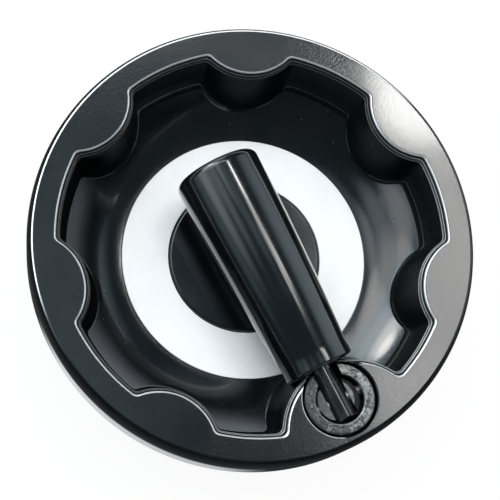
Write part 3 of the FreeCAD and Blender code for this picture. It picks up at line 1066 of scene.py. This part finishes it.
@dataclass
class Wheel:
    """The moulded wheel: rim, lobed wall, dished web and hub, with the socket's pocket cut in."""

    edge: LobedEdge = LobedEdge()
    ledges: tuple[Ledge, ...] = (
        Ledge(0.0, 0.85, 50.7, (0.0, 0.12), 0.28),
        Ledge(0.85, 1.35, 49.4, (0.02, 0.1), 0.2),
    )
    radius: float = 80.0
    front: float = 52.0
    front_round: float = 2.2
    front_depth: float = 5.2
    inner_round: float = 0.8
    barrel: float = 0.05
    barrel_steps: int = 8
    rim_back: float = 28.0
    back_round: float = 4.0
    wall_slope: float = 10.8
    wall_foot: float = 0.3
    dish_inner: Point2 = (45.55, 23.3)
    dish_outer: Point2 = (66.0, 34.0)
    dish_sag: float = 1.9
    dish_round: float = 0.25
    dish_steps: int = 18
    foot_reach: float = 1.6
    foot_lift: float = 0.4
    foot_steps: int = 8
    foot_tries: int = 12
    probe: float = 0.1
    ring_seat: float = 21.8
    cap_seat: float = 21.0
    cap_recess: float = 28.4
    skirt_recess: float = 20.7
    bush_radius: float = 14.0
    bush_length: float = 19.0
    hub_radius: float = 23.0
    web_back: float = 15.8
    slope_start: float = 45.9
    slope_end: float = 69.2
    pocket_radius: float = 13.4
    pocket_floor: float = 34.2
    pocket_round: float = 0.5
    pocket_segments: int = 144
    nut_room: float = 10.8
    stud_room: float = 5.2
    nose_room: float = 13.9
    nose_ends: Span = (12.5, 26.4)
    nose_segments: int = 96
    notch_start: float = 36.5
    notch_half: float = 4.8
    notch_floor: float = 41.0
    screw_room: float = 3.3
    screw_height: float = 7.9
    screw_ends: Span = (8.0, 46.0)
    beyond: float = 3.0

    def dish_height(self, radius: float) -> float:
        """Finds the height of the hollow web, which is bowed between its inner and outer edge.

        Args:
            radius: The distance from the wheel's axis.

        Returns:
            The height.
        """
        start, end = Vector(self.dish_inner), Vector(self.dish_outer)
        if radius >= end.x:
            return end.y
        chord = end - start
        side = Vector((chord.y, -chord.x)).normalized()
        bend = (chord.length ** 2 / 4 + self.dish_sag ** 2) / (2 * self.dish_sag)
        centre = (start + end) / 2 + side * (self.dish_sag - bend)
        return centre.y - math.sqrt(bend ** 2 - (radius - centre.x) ** 2)

    def back_section(self) -> list[Point2]:
        """Samples the back and the outside.

        Returns:
            The section, from the bush to the rim's face.
        """
        side = self.radius - self.barrel
        section = rounded([
            Corner(self.bush_radius, 0.0),
            Corner(self.hub_radius, 0.0, 1.0, 3),
            Corner(self.hub_radius, self.web_back, 4.0, 8),
            Corner(self.slope_start, self.web_back, 3.0, 3),
            Corner(self.slope_end, self.rim_back, 2.0, 3),
            Corner(side, self.rim_back, self.back_round, 10),
            Corner(side, self.front),
        ], closed=False)[:-1]
        low = self.rim_back + self.back_round
        high = self.front - self.front_depth
        for step in range(1, self.barrel_steps + 1):
            share = step / self.barrel_steps
            section.append((self.radius - self.barrel * (1 - share) ** 2, low + (high - low) * share))
        centre = (self.radius - self.front_round, high)
        return section + arc(centre, self.front_round, self.front_depth, 0.0, 90.0, 16)[1:]

    def edge_section(self) -> list[Point2]:
        """Samples the rim's inner edge and its ledges.

        Returns:
            How far inward from the outline each point is, and its height.
        """
        turn = self.inner_round
        section = arc((-turn, self.front - turn), turn, turn, 90.0, 0.0, 8)
        for ledge in self.ledges:
            section += ledge.section()
        return section

    def wall_rings(self) -> tuple[list[list[Point3]], list[Point3]]:
        """Makes the rings of the inner edge, the ledges and the sloped wall.

        Returns:
            The rings down to the one above the foot, and the foot itself.
        """
        rings = [[(x, y, z) for x, y in self.edge.outline(inset)] for inset, z in self.edge_section()]
        wall = SlopedWall(self.edge, self.ledges[0], self.wall_slope)
        feet: list[Point3] = []
        for number in range(len(rings[0])):
            height = self.dish_outer[1]
            for _ in range(self.foot_tries):
                x, y, _z = wall.point(number, height)
                height = self.dish_height(math.hypot(x, y)) + self.foot_lift
            feet.append(wall.point(number, height))
        lip = rings[-1]
        last = [wall.point(number, foot[2] + self.wall_foot) for number, foot in enumerate(feet)]
        for share in (0.25, 0.5, 0.75, 1.0):
            rings.append([between(high, low, share) for high, low in zip(lip, last)])
        return rings, feet

    def dish_rings(self, feet: list[Point3], angles: Sequence[float]) -> list[list[Point3]]:
        """Makes the rings of the foot's round, the hollow web and the recesses.

        Args:
            feet: The foot of the wall.
            angles: The directions of the outer rings' points, in radians.

        Returns:
            The rings in order, down to the bush.
        """
        half = self.foot_reach / 2
        starts: list[Point3] = []
        bends: list[Point3] = []
        for x, y, _ in feet:
            radius = math.hypot(x, y)
            near, middle = radius - self.foot_reach, radius - half
            height = self.dish_height(near)
            slope = (height - self.dish_height(near - self.probe)) / self.probe
            starts.append((x * near / radius, y * near / radius, height))
            bends.append((x * middle / radius, y * middle / radius, height + slope * half))
        rings: list[list[Point3]] = []
        for step in range(self.foot_steps + 1):
            share = step / self.foot_steps
            rings.append([between(between(foot, bend, share), between(bend, start, share), share)
                          for foot, bend, start in zip(feet, bends, starts)])
        inner = self.dish_inner[0] + self.dish_round
        for step in range(1, self.dish_steps + 1):
            share = step / self.dish_steps
            ring = []
            for (x, y, _), angle in zip(starts, angles):
                turn = math.atan2(y, x)
                swing = (angle - turn + math.pi) % (2 * math.pi) - math.pi
                begin = math.hypot(x, y)
                radius = begin + (inner - begin) * share
                ring.append((*polar(radius, turn + swing * share), self.dish_height(radius)))
            rings.append(ring)
        recesses = rounded([
            Corner(inner, self.dish_height(inner)),
            Corner(self.dish_inner[0], self.dish_inner[1], 0.15, 3),
            Corner(self.dish_inner[0], self.ring_seat),
            Corner(self.cap_recess, self.ring_seat),
            Corner(self.cap_recess, self.cap_seat),
            Corner(self.skirt_recess, self.cap_seat),
            Corner(self.skirt_recess, self.bush_length),
            Corner(self.bush_radius, self.bush_length),
        ], closed=False)[1:]
        return rings + revolved(recesses, angles)

    def cutters(self) -> list[bpy.types.Object]:
        """Makes the shapes that are cut out for the socket, the folded handle and the set screw.

        Returns:
            The cutting pieces.
        """
        nose = rounded([
            Corner(0.0, self.nose_ends[0]),
            Corner(self.nose_room, self.nose_ends[0], 0.3, 3),
            Corner(self.nose_room, self.nose_ends[1]),
            Corner(0.0, self.nose_ends[1]),
        ], closed=False)
        top = self.front + self.beyond
        notch = Draft()
        notch.block((self.notch_start, -self.notch_half, self.notch_floor), (PIVOT_X, self.notch_half, top))
        flare = self.pocket_round
        mouth = self.pocket_radius + flare
        pocket = [
            (0.0, -1.0), (self.nut_room, -1.0), (self.nut_room, self.rim_back),
            (self.stud_room, self.rim_back), (self.stud_room, self.pocket_floor),
            (self.pocket_radius, self.pocket_floor),
            *arc((mouth, self.front - flare), flare, flare, 180.0, 90.0, 8),
            (mouth, top), (0.0, top),
        ]
        at_screw = Matrix.Translation((0.0, 0.0, self.screw_height)) @ TO_THE_HUB
        return [
            turned("nose_cut", nose, self.nose_segments, AT_HINGE @ TO_THE_HUB),
            notch.piece("notch_cut"),
            turned("pocket_cut", pocket, self.pocket_segments, AT_PIVOT),
            rod("screw_cut", self.screw_room, self.screw_ends, at_screw),
        ]

    def build(self) -> None:
        """Builds the wheel's moulding and seats it."""
        angles = [math.atan2(y, x) for x, y in self.edge.outline(0.0)]
        walls, feet = self.wall_rings()
        draft = Draft()
        draft.rings(revolved(self.back_section(), angles) + walls + self.dish_rings(feet, angles))
        body = draft.piece("wheel_moulding")
        carve(body, self.cutters())
        smooth(body)
        seat(body, "wheel", Wear.WHEEL, "wheel_body")


@dataclass
class FacePieces:
    """The aluminium ring and the cap at the centre of the dish, and the bush and set screw in the hub."""

    ring_radius: float = 45.4
    ring_bore: float = 28.4
    ring_low: float = 21.8
    ring_high: float = 23.3
    ring_round: float = 0.18
    ring_segments: int = 288
    cap_radius: float = 28.0
    cap_low: float = 21.0
    cap_high: float = 23.9
    cap_round: float = 0.9
    cap_segments: int = 240
    skirt_outer: float = 20.6
    skirt_inner: float = 19.2
    skirt_foot: float = 19.3

    def build(self) -> None:
        """Builds and seats the pieces."""
        ring = turned("aluminium_face_ring", rounded([
            Corner(self.ring_radius, self.ring_low),
            Corner(self.ring_radius, self.ring_high, self.ring_round, 4),
            Corner(self.ring_bore, self.ring_high, self.ring_round, 4),
            Corner(self.ring_bore, self.ring_low),
        ]), self.ring_segments)
        smooth(ring)
        seat(ring, "wheel", Wear.RING, "face_ring")
        cap = turned("hub_cap", rounded([
            Corner(0.0, self.cap_high),
            Corner(self.cap_radius, self.cap_high, self.cap_round, 12),
            Corner(self.cap_radius, self.cap_low),
            Corner(self.skirt_outer, self.cap_low),
            Corner(self.skirt_outer, self.skirt_foot),
            Corner(self.skirt_inner, self.skirt_foot),
            Corner(self.skirt_inner, self.cap_low),
            Corner(0.0, self.cap_low),
        ], closed=False), self.cap_segments)
        smooth(cap)
        seat(cap, "wheel", Wear.CAP, "centre_cap")
        dress_node("hub_bush", Wear.TURNED)
        dress_node("hub_set_screw", Wear.BLACKENED)


@dataclass
class Socket:
    """The cast sleeve and fork of the hinge, the sprung detent, and the washer and nut behind them."""

    outer: float = 12.5
    inner: float = 8.7
    floor: float = 34.2
    top: float = 51.4
    outer_round: float = 0.7
    inner_round: float = 0.45
    top_steps: int = 9
    sleeve_segments: int = 220
    slot_reach: float = 25.0
    slot_half: float = 4.8
    slot_floor: float = 41.0
    beyond: float = 3.0
    pin_hole: float = 1.82
    pin_ends: Span = (-20.0, 20.0)
    rough_depth: float = 1.2
    rough_fall: float = 0.02
    lump: float = 0.14
    waves: tuple[float, float, float] = (1100.0, 2600.0, 1500.0)
    wire: float = 0.6
    wire_steps: int = 8
    coil_radius: float = 1.65
    coil_turns: int = 6
    coil_steps: int = 24
    press: float = 1.0

    def roughen(self, sleeve: bpy.types.Object) -> None:
        """Makes the sleeve's top uneven like a raw casting, always inward from its size.

        Args:
            sleeve: The sleeve.
        """
        long, short, round_about = self.waves
        for vertex in sleeve.data.vertices:
            if vertex.co.z > (self.top - self.rough_depth) * MM:
                wave = noise.noise(vertex.co * long) + 0.5 * noise.noise(vertex.co * short)
                vertex.co.z += (min(wave * self.lump, 0.0) - self.rough_fall) * MM
                out = Vector((vertex.co.x - PIVOT_X * MM, vertex.co.y, 0.0)).normalized()
                vertex.co -= out * (abs(noise.noise(vertex.co * round_about)) * 0.5 * self.lump * MM)

    def sleeve(self) -> None:
        """Builds and seats the open ring."""
        outside = rounded([
            Corner(self.outer, self.floor),
            Corner(self.outer, self.top, self.outer_round, 6),
            Corner(self.inner, self.top),
        ], closed=False)[:-1]
        inside = rounded([
            Corner(self.outer, self.top),
            Corner(self.inner, self.top, self.inner_round, 5),
            Corner(self.inner, self.floor),
        ], closed=False)[1:]
        flat = [between(outside[-1], inside[0], step / self.top_steps) for step in range(1, self.top_steps)]
        piece = turned("cast_sleeve", outside + flat + inside, self.sleeve_segments, AT_PIVOT)
        self.roughen(piece)
        slot = Draft()
        slot.block((PIVOT_X - self.slot_reach, -self.slot_half, self.slot_floor),
                   (PIVOT_X, self.slot_half, self.top + self.beyond))
        pin = rod("pin_cut", self.pin_hole, self.pin_ends, AT_HINGE @ TO_THE_SIDE)
        carve(piece, [slot.piece("slot_cut"), pin])
        smooth(piece, 40.0)
        seat(piece, "wheel", Wear.CASTING, "pivot_sleeve")

    def spring(self) -> None:
        """Builds and seats the coil spring under the plunger."""
        bottom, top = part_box("detent_spring")
        thick = self.wire / 2
        low, high = bottom[2] / MM + thick, top[2] / MM - thick
        spans = self.coil_turns * self.coil_steps
        rings: list[list[Point3]] = []
        for step in range(spans + 1):
            angle = 2 * math.pi * step / self.coil_steps
            height = low + (high - low) * step / spans
            wire = [polar(thick, 2 * math.pi * number / self.wire_steps) for number in range(self.wire_steps)]
            rings.append([(*polar(self.coil_radius + out, angle), height + up) for out, up in wire])
        draft = Draft()
        draft.bar(rings)
        piece = draft.piece("coil_spring", AT_PIVOT)
        smooth(piece, 60.0)
        seat(piece, "wheel", Wear.SPRING, "detent_spring")
        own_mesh(piece)

    def build(self) -> None:
        """Builds and seats the socket's pieces."""
        self.sleeve()
        dress_node("pivot_fork", Wear.CASTING)
        dress_node("hinge_pin", Wear.TURNED)
        dress_node("fork_washer", Wear.PLATED)
        dress_node("fork_nut", Wear.PLATED)
        dress_node("detent_plunger", Wear.TURNED)
        self.spring()


@dataclass
class Handle:
    """The spindle with its retaining parts, and the revolving grip with its bearings."""

    root: float = 13.0
    length: float = 81.0
    waist: float = 12.6
    full: float = 15.75
    root_radius: float = 12.66
    flare: float = 4.5
    end_round: float = 3.0
    end_steps: int = 14
    crown: float = 0.7
    crown_steps: int = 8
    side_steps: int = 48
    bore: float = 8.02
    bore_depth: float = 62.0
    segments: int = 224

    def side(self, start: float, end: float) -> list[Point2]:
        """Samples the barrel's side, an arc that swells from the waist to the full radius.

        Args:
            start: The waist's distance from the hinge.
            end: The distance at which the side is fullest.

        Returns:
            The side's points.
        """
        run = end - start
        rise = self.full - self.waist
        radius = (run ** 2 + rise ** 2) / (2 * rise)
        points: list[Point2] = []
        for step in range(self.side_steps + 1):
            along = run * step / self.side_steps
            points.append((self.full - radius + math.sqrt(radius ** 2 - (run - along) ** 2), start + along))
        return points

    def crowned(self, end: float) -> list[Point2]:
        """Samples the round of the barrel's end and its slightly crowned face.

        Args:
            end: The face's distance from the hinge.

        Returns:
            The points, down to the axis.
        """
        face = self.full - self.end_round
        turn = self.end_round
        points = arc((face, end - turn), turn, turn, 0.0, 90.0, self.end_steps)[1:]
        radius = (face ** 2 + self.crown ** 2) / (2 * self.crown)
        for step in range(1, self.crown_steps + 1):
            across = face * (1 - step / self.crown_steps)
            points.append((across, end + self.crown - radius + math.sqrt(radius ** 2 - across ** 2)))
        return points

    def grip(self) -> None:
        """Builds and seats the grip."""
        end = self.root + self.length
        start = self.root + self.flare
        bottom = self.root + self.bore_depth
        root = rounded([
            Corner(self.bore, bottom),
            Corner(self.bore, self.root, 0.3, 3),
            Corner(self.root_radius, self.root, 0.45, 6),
            Corner(self.waist, start),
        ], closed=False)[1:-1]
        section = [(0.0, bottom), (self.bore, bottom), *root,
                   *self.side(start, end - self.end_round), *self.crowned(end)]
        piece = turned("revolving_grip", section, self.segments, AT_HINGE @ TO_THE_HUB)
        smooth(piece)
        seat(piece, "grip_turn", Wear.GRIP, "grip")

    def build(self) -> None:
        """Builds and seats the handle's pieces."""
        self.grip()
        dress_node("spindle", Wear.BLACKENED)
        dress_node("thrust_washer", Wear.TURNED)
        dress_node("spindle_clip", Wear.SPRING)
        dress_node("grip_front_bush", Wear.BEARING)
        dress_node("grip_rear_bush", Wear.BEARING)


# The studio

@dataclass(frozen=True)
class Glow:
    """A soft bright patch of the studio, full up to its core and gone at its reach, both in degrees."""

    toward: Point3
    core: float
    reach: float
    level: float

    def add(self, sheet: Sheet, way: Wire) -> Wire:
        """Draws the patch.

        Args:
            sheet: The world's sheet.
            way: The direction that is looked in.

        Returns:
            The patch's brightness in that direction.
        """
        inputs = {0: way, 1: Vector(self.toward).normalized()}
        near = sheet.node("ShaderNodeVectorMath", {"operation": "DOT_PRODUCT"}, inputs, "Value")
        return near.step(math.cos(math.radians(self.reach)), math.cos(math.radians(self.core))) * self.level


@dataclass
class Studio:
    """Camera, floor and the lit room."""

    eye: Point3 = (76.73, -125.45, 531.35)
    right: Point3 = (0.4585, 0.8758, 0.1511)
    up: Point3 = (-0.8763, 0.4172, 0.2408)
    back: Point3 = (0.1479, -0.2428, 0.9587)
    lens: float = 102.58
    sensor: float = 36.0
    near_clip: float = 10.0
    floor_half: float = 1500.0
    floor_steps: int = 24
    floor_height: float = -0.02
    lamp_way: Point3 = (-0.30, 0.22, 0.93)
    lamp_level: float = 3.0
    lamp_width: float = 70.0
    dark: float = 0.07
    cool: Colour = (0.72, 1.0, 1.18, 1.0)
    plain: Colour = (1.0, 1.0, 0.985, 1.0)
    plain_side: Span = (-0.62, -0.42)
    plain_base: float = 0.16
    plain_gain: float = 0.34
    glows: tuple[Glow, ...] = (
        Glow((-0.188, 0.393, 0.900), 1.5, 2.8, 19.0),
        Glow((-0.155, 0.405, 0.901), 1.5, 3.6, 3.8),
        Glow((-0.10, 0.410, 0.907), 1.5, 4.0, 2.0),
        Glow((-0.10, 0.425, 0.900), 1.0, 2.6, 3.4),
        Glow((-0.065, 0.435, 0.898), 1.0, 2.6, 2.6),
        Glow((-0.20, -0.91, 0.37), 4.0, 16.0, 0.4),
        Glow((-0.13, 0.365, 0.922), 1.5, 4.5, 3.2),
        Glow((-0.075, 0.350, 0.934), 2.0, 5.0, 4.0),
        Glow((-0.03, 0.325, 0.945), 1.5, 4.0, 4.2),
        Glow((-0.005, 0.300, 0.954), 1.5, 3.3, 5.2),
        Glow((-0.38, 0.27, 0.885), 1.5, 5.0, 4.0),
        Glow((-0.50, 0.18, 0.85), 3.0, 9.0, 3.0),
        Glow((-0.60, -0.09, 0.79), 6.0, 15.0, 3.1),
        Glow((-0.845, -0.20, 0.497), 4.0, 12.0, 6.0),
        Glow((-0.893, -0.193, 0.406), 3.0, 8.0, 9.5),
        Glow((-0.812, -0.38, 0.443), 3.0, 12.0, 4.5),
        Glow((-0.455, -0.31, 0.834), 3.0, 10.0, 1.9),
        Glow((-0.446, -0.074, 0.892), 3.0, 9.0, 3.1),
        Glow((-0.255, -0.119, 0.96), 2.0, 8.0, 1.3),
        Glow((-0.258, -0.404, 0.877), 3.0, 14.0, 0.9),
        Glow((-0.57, -0.55, 0.61), 4.0, 16.0, 2.4),
        Glow((-0.33, -0.73, 0.60), 4.0, 20.0, 1.5),
        Glow((-0.20, -0.565, 0.80), 1.2, 3.5, 1.0),
        Glow((-0.47, 0.54, 0.70), 3.0, 11.0, 0.12),
        Glow((0.015, 0.255, 0.967), 0.9, 2.0, 1.0),
        Glow((0.033, 0.228, 0.973), 0.8, 2.0, 0.5),
        Glow((0.065, 0.200, 0.978), 0.8, 2.0, 0.6),
        Glow((-0.081, 0.228, 0.970), 0.8, 2.0, 0.8),
        Glow((-0.95, 0.0, 0.3), 10.0, 30.0, 1.0),
        Glow((0.15, 0.93, 0.33), 10.0, 34.0, 0.85),
        Glow((-0.045, 0.425, 0.904), 1.4, 3.4, 7.0),
        Glow((-0.74, -0.14, 0.66), 6.0, 14.0, 3.6),
        Glow((-0.62, -0.30, 0.72), 8.0, 30.0, 1.9),
        Glow((-0.16, 0.03, 0.985), 4.0, 10.0, 0.42),
        Glow((-0.42, 0.22, 0.88), 2.0, 18.0, 0.35),
    )

    def camera(self) -> None:
        """Sets up the camera where the photograph was taken."""
        data = bpy.data.cameras.new("camera")
        data.lens = self.lens
        data.sensor_width = self.sensor
        data.clip_start = self.near_clip * MM
        camera = bpy.data.objects.new("camera", data)
        columns = Matrix((self.right, self.up, self.back)).transposed().to_4x4()
        camera.matrix_world = Matrix.Translation(Vector(self.eye) * MM) @ columns
        bpy.context.scene.collection.objects.link(camera)
        bpy.context.scene.camera = camera

    def floor(self) -> None:
        """Lays the floor's sheet of paper under the wheel."""
        draft = Draft()
        marks = [self.floor_half * (2 * step / self.floor_steps - 1) for step in range(self.floor_steps + 1)]
        rows = [draft.ring([(x, y, self.floor_height) for x in marks]) for y in marks]
        for low, high in zip(rows, rows[1:]):
            for left, right in zip(range(self.floor_steps), range(1, self.floor_steps + 1)):
                draft.faces.append((low[left], low[right], high[right], high[left]))
        paper = draft.piece("floor_sheet")
        Wear.PAPER.value.dress(paper)

    def lamp(self) -> None:
        """Hangs a wide soft lamp, which lights matt surfaces plainly and throws no mirror image."""
        data = bpy.data.lights.new("soft_lamp", "SUN")
        data.energy = self.lamp_level
        data.angle = math.radians(self.lamp_width)
        lamp = bpy.data.objects.new("soft_lamp", data)
        lamp.rotation_euler = Vector(self.lamp_way).to_track_quat("Z", "Y").to_euler()
        lamp.visible_glossy = False
        bpy.context.scene.collection.objects.link(lamp)

    def air(self) -> None:
        """Fills the world: white to the camera, to the wheel a dim cool room with soft bright patches."""
        world = bpy.data.worlds.new("studio_air")
        bpy.context.scene.world = world
        world.use_nodes = True
        sheet = Sheet(world.node_tree)
        way = sheet.coordinates("Generated")
        level = self.glows[0].add(sheet, way)
        for glow in self.glows[1:]:
            level = level.maths("MAXIMUM", level, glow.add(sheet, way))
        level = level + self.dark
        share = level * (self.plain_base + self.plain_gain * sheet.axes(way)[0].step(*self.plain_side))
        tint = sheet.blend(share.clip(), self.cool, self.plain)
        room = sheet.shining("ShaderNodeBackground", sheet.scaled(tint, level))
        white = sheet.shining("ShaderNodeBackground", grey(1.0))
        sheet.finish(sheet.mixed(sheet.ray("Is Camera Ray"), room, white), "ShaderNodeOutputWorld")

    def build(self) -> None:
        """Sets up everything that isn't part of the handwheel."""
        bpy.context.scene.view_settings.view_transform = "Standard"
        self.camera()
        self.floor()
        self.lamp()
        self.air()
        LOG.info("studio: %d soft patches", len(self.glows))


def main() -> None:
    """Builds the handwheel and its studio."""
    logging.basicConfig(level=logging.INFO, format="%(name)s %(message)s")
    for assembly in (Wheel(), FacePieces(), Socket(), Handle(), Studio()):
        assembly.build()


if __name__ == "__main__":
    main()
